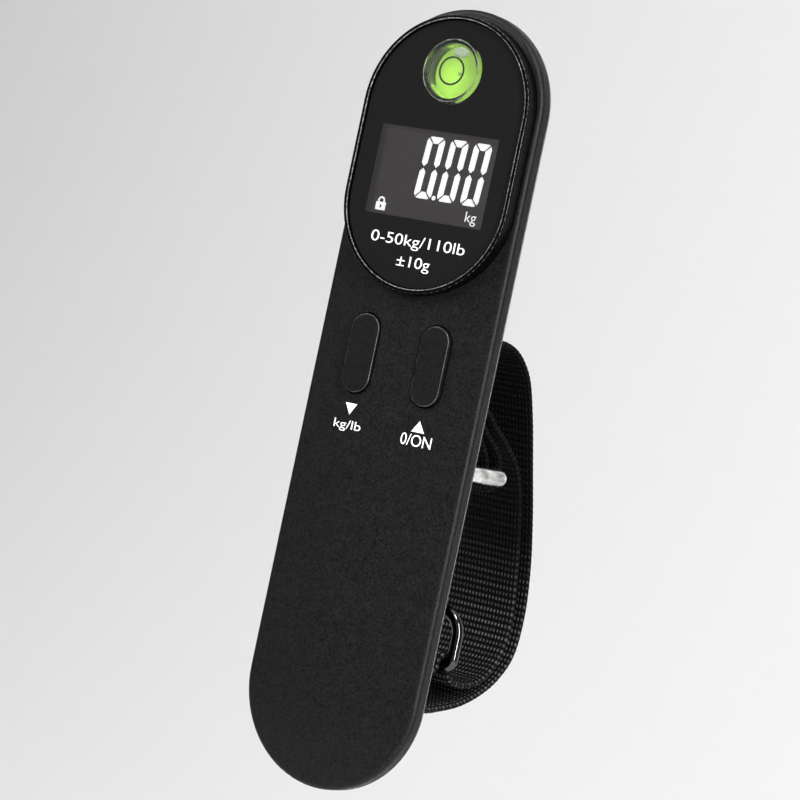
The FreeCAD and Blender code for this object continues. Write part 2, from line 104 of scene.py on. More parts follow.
class StrapSettings(bpy.types.PropertyGroup):
    width: bpy.props.FloatProperty(
        name="Width", description="Width of the webbing", default=0.020, min=0.01,
        max=0.03, unit="LENGTH")
    thickness: bpy.props.FloatProperty(
        name="Thickness", description="Thickness of the webbing", default=0.0014,
        min=0.0005, max=0.003, unit="LENGTH")
    rib_pitch: bpy.props.FloatProperty(
        name="Rib pitch", description="Distance from one weft rib to the next",
        default=0.00131, min=0.0005, max=0.004, unit="LENGTH", precision=5)
    yarn_pitch: bpy.props.FloatProperty(
        name="Yarn pitch", description="Distance from one warp yarn to the next",
        default=0.00078, min=0.0003, max=0.004, unit="LENGTH", precision=5)
    colour: bpy.props.FloatVectorProperty(
        name="Colour", description="Colour of the webbing", subtype="COLOR", size=3,
        min=0.0, max=1.0, default=(0.0020, 0.0020, 0.0021))


class StageSettings(bpy.types.PropertyGroup):
    azimuth: bpy.props.FloatProperty(
        name="Azimuth", description="Camera angle round the scale",
        default=math.radians(32.07), subtype="ANGLE")
    elevation: bpy.props.FloatProperty(
        name="Elevation", description="Camera angle above the horizon",
        default=math.radians(-0.093), subtype="ANGLE")
    roll: bpy.props.FloatProperty(
        name="Roll", description="Lean of the camera", default=math.radians(11.938),
        subtype="ANGLE")
    distance: bpy.props.FloatProperty(
        name="Distance", description="From the camera to the scale", default=0.52755,
        unit="LENGTH")
    lens: bpy.props.FloatProperty(
        name="Lens", description="Focal length in millimetres", default=125.29)
    backdrop_colour: bpy.props.FloatVectorProperty(
        name="Backdrop", description="Colour of the floor and backdrop",
        subtype="COLOR", size=3, min=0.0, max=1.0, default=(0.80, 0.80, 0.80))


# ---- node helpers ----------------------------------------------------------
class Finish:
    """A material with its principled shader and short calls for its nodes."""

    def __init__(self, name, colour, roughness, metallic=0.0):
        self.material = bpy.data.materials.new(name)
        self.material.use_nodes = True
        self.tree = self.material.node_tree
        self.shader = self.tree.nodes["Principled BSDF"]
        self.output = self.tree.nodes["Material Output"]
        self.shader.inputs["Base Color"].default_value = (*colour, 1.0)
        self.shader.inputs["Roughness"].default_value = roughness
        self.shader.inputs["Metallic"].default_value = metallic

    def node(self, kind, **values):
        made = self.tree.nodes.new(kind)
        for key, value in values.items():
            if hasattr(made, key):
                setattr(made, key, value)
            else:
                made.inputs[key.replace("_", " ")].default_value = value
        return made

    def link(self, source, target):
        self.tree.links.new(source, target)

    def coords(self, kind="Object"):
        return self.node("ShaderNodeTexCoord").outputs[kind]

    def noise(self, size, detail=3.0, roughness=0.55, stretch=(1.0, 1.0, 1.0)):
        """Noise whose features are about size across."""
        place = self.node("ShaderNodeMapping")
        place.inputs["Scale"].default_value = stretch
        self.link(self.coords(), place.inputs["Vector"])
        noise = self.node("ShaderNodeTexNoise", Scale=1.0 / size, Detail=detail, Roughness=roughness)
        self.link(place.outputs["Vector"], noise.inputs["Vector"])
        return noise.outputs["Fac"]

    def remap(self, value, low, high, source=(0.0, 1.0)):
        spread = self.node("ShaderNodeMapRange")
        spread.inputs["From Min"].default_value = source[0]
        spread.inputs["From Max"].default_value = source[1]
        spread.inputs["To Min"].default_value = low
        spread.inputs["To Max"].default_value = high
        self.link(value, spread.inputs["Value"])
        return spread.outputs["Result"]

    def math(self, operation, a, b=0.0):
        made = self.node("ShaderNodeMath")
        made.operation = operation
        for socket, value in zip(made.inputs, (a, b)):
            if isinstance(value, (int, float)):
                socket.default_value = value
            else:
                self.link(value, socket)
        return made.outputs[0]

    def blend_colour(self, factor, first, second):
        mix = self.node("ShaderNodeMix")
        mix.data_type = "RGBA"
        self.link(factor, mix.inputs[0])
        for socket, value in ((mix.inputs[6], first), (mix.inputs[7], second)):
            socket.default_value = (*value, 1.0)
        return mix.outputs[2]

    def colour_from(self, factor, first, second):
        self.link(self.blend_colour(factor, first, second), self.shader.inputs["Base Color"])

    def roughness_from(self, factor, low, high):
        self.link(self.remap(factor, low, high, (0.3, 0.7)), self.shader.inputs["Roughness"])

    def bump(self, height, distance, strength=1.0, after=None):
        made = self.node("ShaderNodeBump")
        made.inputs["Distance"].default_value = distance
        made.inputs["Strength"].default_value = strength
        self.link(height, made.inputs["Height"])
        if after is not None:
            self.link(after, made.inputs["Normal"])
        self.link(made.outputs["Normal"], self.shader.inputs["Normal"])
        return made.outputs["Normal"]

    def glow(self, colour, strength):
        self.shader.inputs["Emission Color"].default_value = (*colour, 1.0)
        self.shader.inputs["Emission Strength"].default_value = strength

    def set(self, **values):
        for key, value in values.items():
            self.shader.inputs[key.replace("_", " ")].default_value = value
        return self


def tint(colour, gain):
    return tuple(min(1.0, c * gain) for c in colour)


def grained_plastic(name, colour, grain, depth=0.00004, roughness=(0.38, 0.50)):
    """Moulded plastic with a spark-eroded grain."""
    finish = Finish(name, colour, sum(roughness) / 2)
    fine = finish.noise(grain, 4.0, 0.7)
    coarse = finish.noise(grain * 5.0, 2.0)
    speck = finish.remap(fine, 0.0, 1.0, (0.35, 0.75))
    finish.colour_from(speck, tint(colour, 0.12), tint(colour, 3.10))
    finish.roughness_from(coarse, *roughness)
    normal = finish.bump(coarse, depth * 1.6, 0.35)
    finish.bump(fine, depth, 0.8, after=normal)
    finish.set(Specular_IOR_Level=0.15)
    return finish.material


def smooth_plastic(name, colour, roughness=(0.28, 0.40), grain=0.0015, gloss=0.5):
    finish = Finish(name, colour, sum(roughness) / 2)
    mottle = finish.noise(grain, 3.0)
    finish.colour_from(mottle, tint(colour, 0.85), tint(colour, 1.15))
    finish.roughness_from(mottle, *roughness)
    finish.bump(mottle, 0.000006, 0.4)
    finish.set(Specular_IOR_Level=gloss)
    return finish.material


def drawn_metal(name, colour, roughness=(0.16, 0.32), brush=(1.0, 1.0, 0.08), size=0.0009,
                streaks=(0.88, 1.06)):
    """Metal with fine drawing marks along one direction, darker and lighter by streaks: a narrow range of
    streaks is the metal's own tone, a wide one is painted reflection.
    """
    finish = Finish(name, colour, sum(roughness) / 2, 1.0)
    marks = finish.noise(size, 5.0, 0.7, brush)
    cloud = finish.noise(0.004, 2.0)
    finish.colour_from(finish.remap(finish.math("MULTIPLY", cloud, marks), 0.0, 1.0, (0.12, 0.36)),
                       tint(colour, streaks[0]), tint(colour, streaks[1]))
    finish.roughness_from(marks, *roughness)
    finish.bump(marks, 0.000012, 0.4)
    return finish.material


def clear_resin(name, colour, roughness=0.03, ior=1.49, clear=1.0):
    """Clear moulded acrylic that lets lamp light through."""
    finish = Finish(name, colour, roughness)
    finish.set(Transmission_Weight=clear, IOR=ior)
    ripple = finish.noise(0.003, 2.0)
    finish.bump(ripple, 0.00002, 0.25)
    open_path = finish.node("ShaderNodeBsdfTransparent")
    open_path.inputs["Color"].default_value = (*tint(colour, 0.95), 1.0)
    mix = finish.node("ShaderNodeMixShader")
    finish.link(finish.node("ShaderNodeLightPath").outputs["Is Shadow Ray"], mix.inputs[0])
    finish.link(finish.shader.outputs[0], mix.inputs[1])
    finish.link(open_path.outputs[0], mix.inputs[2])
    finish.link(mix.outputs[0], finish.output.inputs["Surface"])
    return finish.material


def printed_ink(name, colour, light=0.25):
    """Opaque printing ink with a slight unevenness and a glow of the given strength: the backlight on the lit
    segments, a painted glow on plain print.
    """
    finish = Finish(name, colour, 0.45)
    patch = finish.noise(0.0004, 3.0)
    finish.colour_from(patch, tint(colour, 0.92), tint(colour, 1.0))
    # glow: the backlight on lit segments; on print with no lamp behind it, painted light
    finish.glow(colour, light)
    return finish.material


# ---- mesh helpers ----------------------------------------------------------
def add_piece(name, mesh, body, material, smooth=True):
    mesh.materials.clear()
    mesh.materials.append(material)
    piece = bpy.data.objects.new(name, mesh)
    bpy.context.scene.collection.objects.link(piece)
    for polygon in mesh.polygons:
        polygon.use_smooth = smooth
    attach(piece, body)
    return piece


def mesh_from(bm, name):
    mesh = bpy.data.meshes.new(name)
    bm.to_mesh(mesh)
    bm.free()
    return mesh


def paint(node, material):
    """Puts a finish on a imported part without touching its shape."""
    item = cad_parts[node]
    if item.material_slots:
        for holder in item.material_slots:
            holder.link = "OBJECT"
            holder.material = material
    else:
        item.data.materials.append(material)


def pill_outline(half_w, z_low, z_high, steps=24):
    """Points (x, z) round an upright pill, anticlockwise."""
    points = []
    for centre, start in ((z_high - half_w, 0.0), (z_low + half_w, math.pi)):
        for i in range(steps + 1):
            a = start + math.pi * i / steps
            points.append((half_w * math.cos(a), centre + half_w * math.sin(a)))
    return points


def tube_loop(name, points, radius, closed=True, resolution=3):
    """A round tube through points, as a mesh."""
    curve = bpy.data.curves.new(name, "CURVE")
    curve.dimensions = "3D"
    curve.bevel_depth = radius
    curve.bevel_resolution = resolution
    curve.use_fill_caps = not closed
    spline = curve.splines.new("POLY")
    spline.points.add(len(points) - 1)
    for point, co in zip(spline.points, points):
        point.co = (*co, 1.0)
    spline.use_cyclic_u = closed
    holder = bpy.data.objects.new(name, curve)
    mesh = bpy.data.meshes.new_from_object(holder)
    bpy.data.objects.remove(holder)
    bpy.data.curves.remove(curve)
    return mesh


def plate_from_outline(bm, outline, y_back, y_front):
    """A flat plate whose (x, z) outline is extruded from y_back to y_front."""
    verts = [bm.verts.new((x, y_back, z)) for x, z in outline]
    face = bm.faces.new(verts)
    made = bmesh.ops.extrude_face_region(bm, geom=[face])
    moved = [v for v in made["geom"] if isinstance(v, bmesh.types.BMVert)]
    bmesh.ops.translate(bm, verts=moved, vec=(0.0, y_front - y_back, 0.0))


def tidy_normals(bm):
    bmesh.ops.remove_doubles(bm, verts=bm.verts, dist=1e-7)
    bmesh.ops.recalc_face_normals(bm, faces=bm.faces)


def face_height(x):
    """Where the crowned front face lies at this distance from the middle."""
    return FACE_CROWN_Y + (FACE_EDGE_Y - FACE_CROWN_Y) * (x / FACE_FLAT_HALF) ** 2


def lettering(name, words, height, centre, y, width=None, thickness=0.04 * MM, follow=False):
    """Printed words lying on a front face, as a thin mesh."""
    text = bpy.data.curves.new(name, "FONT")
    text.body = words
    text.size = 1.0
    text.align_x = "CENTER"
    text.extrude = 0.0
    text.offset = -0.004
    holder = bpy.data.objects.new(name, text)
    mesh = bpy.data.meshes.new_from_object(holder)
    bpy.data.objects.remove(holder)
    bpy.data.curves.remove(text)
    bm = bmesh.new()
    bm.from_mesh(mesh)
    bpy.data.meshes.remove(mesh)
    bmesh.ops.remove_doubles(bm, verts=bm.verts, dist=1e-5)
    low = [min(v.co[i] for v in bm.verts) for i in range(2)]
    high = [max(v.co[i] for v in bm.verts) for i in range(2)]
    scale_z = height / (high[1] - low[1])
    scale_x = width / (high[0] - low[0]) if width else scale_z
    middle = [(a + b) / 2 for a, b in zip(low, high)]
    for v in bm.verts:
        x = centre[0] + (v.co.x - middle[0]) * scale_x
        z = centre[1] + (v.co.y - middle[1]) * scale_z
        base = face_height(x) if follow else y
        v.co = (x, base + 0.01 * MM, z)
    made = bmesh.ops.extrude_face_region(bm, geom=bm.faces[:])
    moved = [v for v in made["geom"] if isinstance(v, bmesh.types.BMVert)]
    bmesh.ops.translate(bm, verts=moved, vec=(0.0, -thickness, 0.0))
    bmesh.ops.recalc_face_normals(bm, faces=bm.faces)
    return mesh_from(bm, name)


# ---- operators -------------------------------------------------------------
class LSCALE_OT_stage(bpy.types.Operator):
    """Sets the camera, the soft lights and the pale backdrop"""
    bl_idname = "lscale.stage"
    bl_label = "Studio"

    def execute(self, context):
        settings = context.scene.lscale_stage
        self.camera(settings)
        self.lights()
        self.backdrop(settings)
        return {"FINISHED"}

    def camera(self, settings):
        yaw, pitch, roll = settings.azimuth, settings.elevation, settings.roll
        back = Vector((math.sin(yaw) * math.cos(pitch), -math.cos(yaw) * math.cos(pitch), math.sin(pitch)))
        right = Vector((math.cos(yaw), math.sin(yaw), 0.0))
        up = back.cross(right)
        side = right * math.cos(roll) + up * math.sin(roll)
        over = up * math.cos(roll) - right * math.sin(roll)
        target = right * TARGET_SHIFT[0] + up * TARGET_SHIFT[1]
        data = bpy.data.cameras.new("camera")
        data.lens = settings.lens
        data.sensor_width = 36.0
        data.clip_start = 0.01
        data.clip_end = 20.0
        item = bpy.data.objects.new("camera", data)
        turn = Matrix((side, over, back)).transposed().to_4x4()
        item.matrix_world = Matrix.Translation(target + back * settings.distance) @ turn
        bpy.context.scene.collection.objects.link(item)
        bpy.context.scene.camera = item

    def lights(self):
        # name, place, aimed at, width, height, power, colour
        lamps = [
            ("key", (-0.72, -0.72, 0.80), (0, 0, 0.0), 0.7, 0.7, 14.0, (1.0, 1.0, 1.0)),
            ("edge", (0.98, -0.46, 0.22), (0, 0, 0.0), 0.12, 1.0, 20.0, (1.0, 1.0, 1.0)),
            ("loop", (0.50, -0.42, 0.92), (0.01, 0.042, -0.04), 0.22, 0.22, 9.0, (1.0, 1.0, 1.0)),
            ("wall", (0.0, -0.2, 2.2), (-0.6, 1.3, 0.15), 2.4, 1.2, 20.0, (1.0, 1.0, 1.0)),
        ]
        for name, place, aim, width, height, power, colour in lamps:
            data = bpy.data.lights.new(name, "AREA")
            data.shape = "RECTANGLE"
            data.size = width
            data.size_y = height
            data.energy = power
            data.color = colour
            item = bpy.data.objects.new(name, data)
            direction = Vector(aim) - Vector(place)
            turn = direction.to_track_quat("-Z", "Y").to_matrix().to_4x4()
            item.matrix_world = Matrix.Translation(place) @ turn
            bpy.context.scene.collection.objects.link(item)

    def backdrop(self, settings):
        world = bpy.data.worlds.new("studio")
        bpy.context.scene.world = world
        world.use_nodes = True
        ambient = world.node_tree.nodes["Background"]
        ambient.inputs["Color"].default_value = (0.75, 0.76, 0.78, 1.0)
        tree = world.node_tree
        seen = tree.nodes.new("ShaderNodeLightPath")
        spread = tree.nodes.new("ShaderNodeMapRange")
        spread.inputs["To Min"].default_value = 0.24
        spread.inputs["To Max"].default_value = 0.80
        tree.links.new(seen.outputs["Is Camera Ray"], spread.inputs["Value"])
        tree.links.new(spread.outputs["Result"], ambient.inputs["Strength"])
        bpy.context.scene.view_settings.view_transform = "Standard"
        bm = bmesh.new()
        floor_z = -0.42
        radius = 0.9
        start = bm.verts.new((-3.0, -3.0, floor_z))
        made = bmesh.ops.extrude_vert_indiv(bm, verts=[start])
        front = made["verts"][0]
        bmesh.ops.translate(bm, verts=[front], vec=(0.0, 3.6, 0.0))
        bmesh.ops.spin(
            bm, geom=[front], cent=(-3.0, 0.6, floor_z + radius), axis=(1.0, 0.0, 0.0),
            angle=math.radians(90.0), steps=24, use_merge=False)
        last = max(bm.verts, key=lambda v: v.co.z + v.co.y)
        made = bmesh.ops.extrude_vert_indiv(bm, verts=[last])
        bmesh.ops.translate(bm, verts=made["verts"], vec=(0.0, 0.0, 2.5))
        made = bmesh.ops.extrude_edge_only(bm, edges=bm.edges[:])
        moved = [v for v in made["geom"] if isinstance(v, bmesh.types.BMVert)]
        bmesh.ops.translate(bm, verts=moved, vec=(6.0, 0.0, 0.0))
        bmesh.ops.remove_doubles(bm, verts=bm.verts, dist=1e-6)
        bmesh.ops.recalc_face_normals(bm, faces=bm.faces)
        mesh = mesh_from(bm, "backdrop")
        finish = Finish("backdrop_paper", settings.backdrop_colour, 0.9)
        cloud = finish.noise(0.4, 2.0)
        finish.colour_from(cloud, tint(settings.backdrop_colour, 0.98), tint(settings.backdrop_colour, 1.0))
        mesh.materials.append(finish.material)
        for polygon in mesh.polygons:
            polygon.use_smooth = True
        paper = bpy.data.objects.new("backdrop", mesh)
        bpy.context.scene.collection.objects.link(paper)


class LSCALE_OT_case(bpy.types.Operator):
    """Finishes the shells, the door, the bezel and the buttons, and adds their edges and the label"""
    bl_idname = "lscale.case"
    bl_label = "Case finishes"

    def execute(self, context):
        settings = context.scene.lscale_shell
        colour = tuple(settings.shell_colour)
        grain = settings.grain_size
        paint("front_shell", grained_plastic("shell_grain", colour, grain))
        paint("rear_shell", grained_plastic("rear_shell_grain", tint(colour, 0.9), grain))
        paint("battery_door", grained_plastic("door_grain", colour, grain))
        paint("display_bezel", smooth_plastic("bezel_satin", tint(colour, 0.30), (0.24, 0.32), gloss=0.05))
        for node, name in (("unit_button_cap", "left_button"), ("power_button_cap", "right_button")):
            finish = grained_plastic(name, tint(colour, 0.95), grain * 0.6, 0.00002, (0.36, 0.46))
            paint(node, finish)
        paint("vial_retainer", smooth_plastic("retainer_plastic", (0.03, 0.03, 0.03)))
        self.button_edges(colour)
        self.seam_bead(settings, colour)
        self.label()
        return {"FINISHED"}

    def label(self):
        """A plain satin label in its shallow seat on the back."""
        bm = bmesh.new()
        bmesh.ops.create_cube(bm, size=1.0)
        bmesh.ops.scale(bm, verts=bm.verts, vec=LABEL_SIZE)
        upright = [e for e in bm.edges if abs(e.verts[0].co.y - e.verts[1].co.y) > 0.05 * MM]
        bmesh.ops.bevel(
            bm, geom=upright, offset=1.0 * MM, segments=5, profile=0.5, affect="EDGES", material=-1)
        bmesh.ops.translate(bm, verts=bm.verts, vec=LABEL_CENTRE)
        bmesh.ops.recalc_face_normals(bm, faces=bm.faces)
        finish = smooth_plastic("label_film", (0.30, 0.30, 0.30), (0.35, 0.45))
        add_piece("rating_label", mesh_from(bm, "rating_label"), "body", finish, False)

    def button_edges(self, colour):
        """The top edge of each button, glossier in patches, with a painted highlight in its colour that is
        brighter in some places than in others.
        """
        finish = Finish("button_edge_gloss_and_painted_highlight", colour, 0.2)
        rub_gloss_and_painted_highlight = finish.remap(finish.noise(0.0035, 3.0, 0.6), 0.0, 1.0, (0.40, 0.64))
        # painted highlight: the edge's colour runs from 2 to 26 times the shell's
        finish.colour_from(rub_gloss_and_painted_highlight, tint(colour, 2.0), tint(colour, 26.0))
        finish.roughness_from(rub_gloss_and_painted_highlight, 0.30, 0.18)
        inset = 0.13 * MM
        for node, body, name in (("unit_button_cap", "unit_button", "unit_button_edge"),
                                 ("power_button_cap", "power_button", "power_button_edge")):
            low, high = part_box(node)
            middle = (low[0] + high[0]) / 2
            half_w = (high[0] - low[0]) / 2 - inset
            ends = BUTTON_FLANGE + inset
            outline = pill_outline(half_w, low[2] + ends, high[2] - ends)
            points = [(middle + x, low[1] + 0.12 * MM, z) for x, z in outline]
            add_piece(name, tube_loop(name, points, 0.065 * MM), body, finish.material)

    def seam_bead(self, settings, colour):
        inset = settings.bead_radius * 0.7
        outline = pill_outline(BODY_HALF_W - inset, -BODY_TOP_Z + inset, BODY_TOP_Z - inset, 40)
        points = [(x, settings.bead_radius * 0.9, z) for x, z in outline]
        mesh = tube_loop("seam_bead", points, settings.bead_radius)
        # painted highlight: the bead's colour, nine times the shell's, lights the parting line
        finish = smooth_plastic("seam_gloss_and_painted_highlight", tint(colour, 9.0), (0.20, 0.28))
        add_piece("seam_bead", mesh, "body", finish)


class LSCALE_OT_display(bpy.types.Operator):
    """Finishes the lens and its rim, and makes the reading, the padlock and the printed lines"""
    bl_idname = "lscale.display"
    bl_label = "Display"

    def execute(self, context):
        settings = context.scene.lscale_display
        paint("display_lens", self.lens_finish())
        paint("lcd_panel", self.panel_finish())
        paint("lcd_backlight", smooth_plastic("diffuser", (0.7, 0.7, 0.68)))
        paint("lcd_zebra_strip", smooth_plastic("zebra_rubber", (0.05, 0.05, 0.06), (0.6, 0.75)))
        lit = printed_ink("lit_segment", tuple(settings.lit_colour), 0.95)
        # the white print glows at 0.12: painted light, as nothing lights it from behind
        ink = printed_ink("white_print", (0.86, 0.86, 0.86), 0.12)
        self.rim_edge()
        self.reading(settings, lit)
        self.padlock(lit)
        mesh = lettering("unit_mark", "kg", 2.60 * MM, (9.73 * MM, 35.60 * MM), LCD_Y - 0.02 * MM)
        add_piece("unit_mark", mesh, "body", lit, False)
        # name, words, height, middle in x and z, width
        lines = (
            ("capacity_line", "0-50kg/110lb", 2.75, (0.1, 29.28), 21.0),
            ("step_line", "\u00b110g", 2.70, (0.05, 25.35), 7.4),
        )
        for name, words, height, (x, z), width in lines:
            mesh = lettering(name, words, height * MM, (x * MM, z * MM), LENS_Y, width * MM)
            add_piece(name, mesh, "body", ink, False)
        return {"FINISHED"}

    def rim_edge(self):
        """The two polished edges of the bezel's rim, all round the lens, their colour a painted highlight
        broken into patches.
        """
        low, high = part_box("display_bezel")
        middle = (low[2] + high[2]) / 2
        finish = Finish("rim_edge_gloss_and_painted_highlight", (0.03, 0.03, 0.03), 0.2)
        # this noise breaks the painted highlight into bright and dark patches and varies the gloss
        chips = finish.noise(0.0005, 4.0, 0.8)
        painted_sparkle = finish.remap(chips, 0.0, 1.0, (0.42, 0.62))
        # painted highlight: near black to light grey on the black bezel
        finish.colour_from(painted_sparkle, (0.008, 0.008, 0.008), (0.20, 0.20, 0.20))
        finish.roughness_from(chips, 0.30, 0.12)
        finish.set(Specular_IOR_Level=0.5)
        # name, distance in from the bezel's side, depth below its top, radius
        edges = (
            ("rim_edge", 0.74 * MM, 0.07 * MM, 0.11 * MM),
            ("rim_outer_edge", 0.16 * MM, 0.16 * MM, 0.09 * MM),
        )
        for name, inset, sunk, radius in edges:
            outline = pill_outline(high[0] - inset, low[2] + inset - middle, high[2] - inset - middle, 40)
            points = [(x, low[1] + sunk, z + middle) for x, z in outline]
            add_piece(name, tube_loop(name, points, radius), "body", finish.material)

    def lens_finish(self):
        """Gloss black print behind acrylic, clear over the window."""
        finish = Finish("smoked_lens", (0.0066, 0.0064, 0.0064), 0.08)
        finish.set(Specular_IOR_Level=0.38)
        haze = finish.noise(0.02, 2.0)
        finish.roughness_from(haze, 0.07, 0.11)
        split = finish.node("ShaderNodeSeparateXYZ")
        finish.link(finish.coords(), split.inputs[0])
        inside = []
        for axis, centre, half in zip((0, 2), WINDOW_CENTRE, WINDOW_HALF):
            away = finish.math("ABSOLUTE", finish.math("SUBTRACT", split.outputs[axis], centre))
            inside.append(finish.math("LESS_THAN", away, half))
        behind = finish.math("GREATER_THAN", split.outputs[1], LENS_Y + 0.3 * MM)
        window = finish.math("MAXIMUM", finish.math("MULTIPLY", inside[0], inside[1]), behind)
        clear = finish.node("ShaderNodeBsdfTransparent")
        clear.inputs["Color"].default_value = (0.93, 0.93, 0.93, 1.0)
        gloss = finish.node("ShaderNodeBsdfGlossy")
        gloss.inputs["Roughness"].default_value = 0.06
        pane = finish.node("ShaderNodeMixShader")
        mirror = finish.node("ShaderNodeFresnel", IOR=1.42)
        finish.link(mirror.outputs[0], pane.inputs[0])
        finish.link(clear.outputs[0], pane.inputs[1])
        finish.link(gloss.outputs[0], pane.inputs[2])
        whole = finish.node("ShaderNodeMixShader")
        finish.link(window, whole.inputs[0])
        finish.link(finish.shader.outputs[0], whole.inputs[1])
        finish.link(pane.outputs[0], whole.inputs[2])
        finish.link(whole.outputs[0], finish.output.inputs["Surface"])
        return finish.material

    def panel_finish(self):
        finish = Finish("lcd_field", (0.028, 0.025, 0.027), 0.4)
        cloud = finish.noise(0.012, 2.0)
        finish.colour_from(cloud, (0.026, 0.023, 0.025), (0.032, 0.028, 0.030))
        finish.glow((1.0, 0.90, 0.93), 0.047)
        return finish.material

    def reading(self, settings, lit):
        height, width = settings.digit_height, settings.digit_width
        base_z = 37.95 * MM
        first_x = -3.74 * MM
        lean = math.tan(settings.slant)
        bm = bmesh.new()
        y_back, y_front = LCD_Y - 0.01 * MM, LCD_Y - 0.05 * MM

        def put(outline, x0):
            slanted = [(x0 + x + lean * z, base_z + z) for x, z in outline]
            plate_from_outline(bm, slanted, y_back, y_front)

        for i in range(3):
            for outline in zero_segments(width, height, settings.stroke):
                put(outline, first_x + i * settings.digit_pitch)
        dot = [(0.43 * MM * math.cos(a), 0.43 * MM * (1.0 + math.sin(a)))
               for a in (math.tau * k / 20 for k in range(20))]
        put(dot, first_x + settings.digit_pitch - 0.66 * MM)
        tidy_normals(bm)
        add_piece("reading_digits", mesh_from(bm, "reading_digits"), "body", lit, False)

    def padlock(self, lit):
        cx, low = -10.50 * MM, 34.55 * MM
        y_back, y_front = LCD_Y - 0.01 * MM, LCD_Y - 0.05 * MM
        half_w, top = 1.10 * MM, low + 1.55 * MM
        slot = 0.20 * MM
        bm = bmesh.new()
        for side in (-1, 1):
            near, far = cx + side * slot, cx + side * half_w
            block = [(near, low), (far, low), (far, top), (near, top)]
            plate_from_outline(bm, block, y_back, y_front)
        for z0, z1 in ((low, low + 0.45 * MM), (top - 0.50 * MM, top)):
            block = [(cx - slot, z0), (cx + slot, z0), (cx + slot, z1), (cx - slot, z1)]
            plate_from_outline(bm, block, y_back, y_front)
        outer, inner, spring = 0.78 * MM, 0.44 * MM, top + 0.30 * MM
        turn = [math.pi * k / 12 for k in range(13)]
        arch = [(cx + outer, top)] + [(cx + outer * math.cos(a), spring + outer * math.sin(a)) for a in turn]
        arch += [(cx - outer, top), (cx - inner, top)]
        arch += [(cx - inner * math.cos(a), spring + inner * math.sin(a)) for a in turn]
        arch += [(cx + inner, top)]
        plate_from_outline(bm, arch, y_back, y_front)
        bmesh.ops.recalc_face_normals(bm, faces=bm.faces)
        add_piece("padlock_mark", mesh_from(bm, "padlock_mark"), "body", lit, False)


def zero_segments(width, height, stroke):
    """The six lit segments of a nought, each an outline of (x, z) points."""
    gap = stroke * 0.13
    bevel = stroke * 0.55
    mid = height / 2
    upright = [
        (0.0, mid + gap + bevel), (stroke / 2, mid + gap), (stroke, mid + gap + bevel),
        (stroke, height - stroke - gap * 0.5), (stroke * 0.20, height - stroke * 0.28),
        (0.0, height - stroke * 0.75),
    ]
    cap = [
        (stroke * 0.42, height - stroke * 0.12), (stroke * 0.70, height),
        (width - stroke * 0.70, height), (width - stroke * 0.42, height - stroke * 0.12),
        (width - stroke - gap * 0.6, height - stroke * 0.86), (width - stroke * 1.25, height - stroke * 1.05),
        (stroke * 1.25, height - stroke * 1.05), (stroke + gap * 0.6, height - stroke * 0.86),
    ]
    segments = [cap, upright, [(width - x, z) for x, z in upright]]
    return segments + [[(x, height - z) for x, z in outline] for outline in segments]


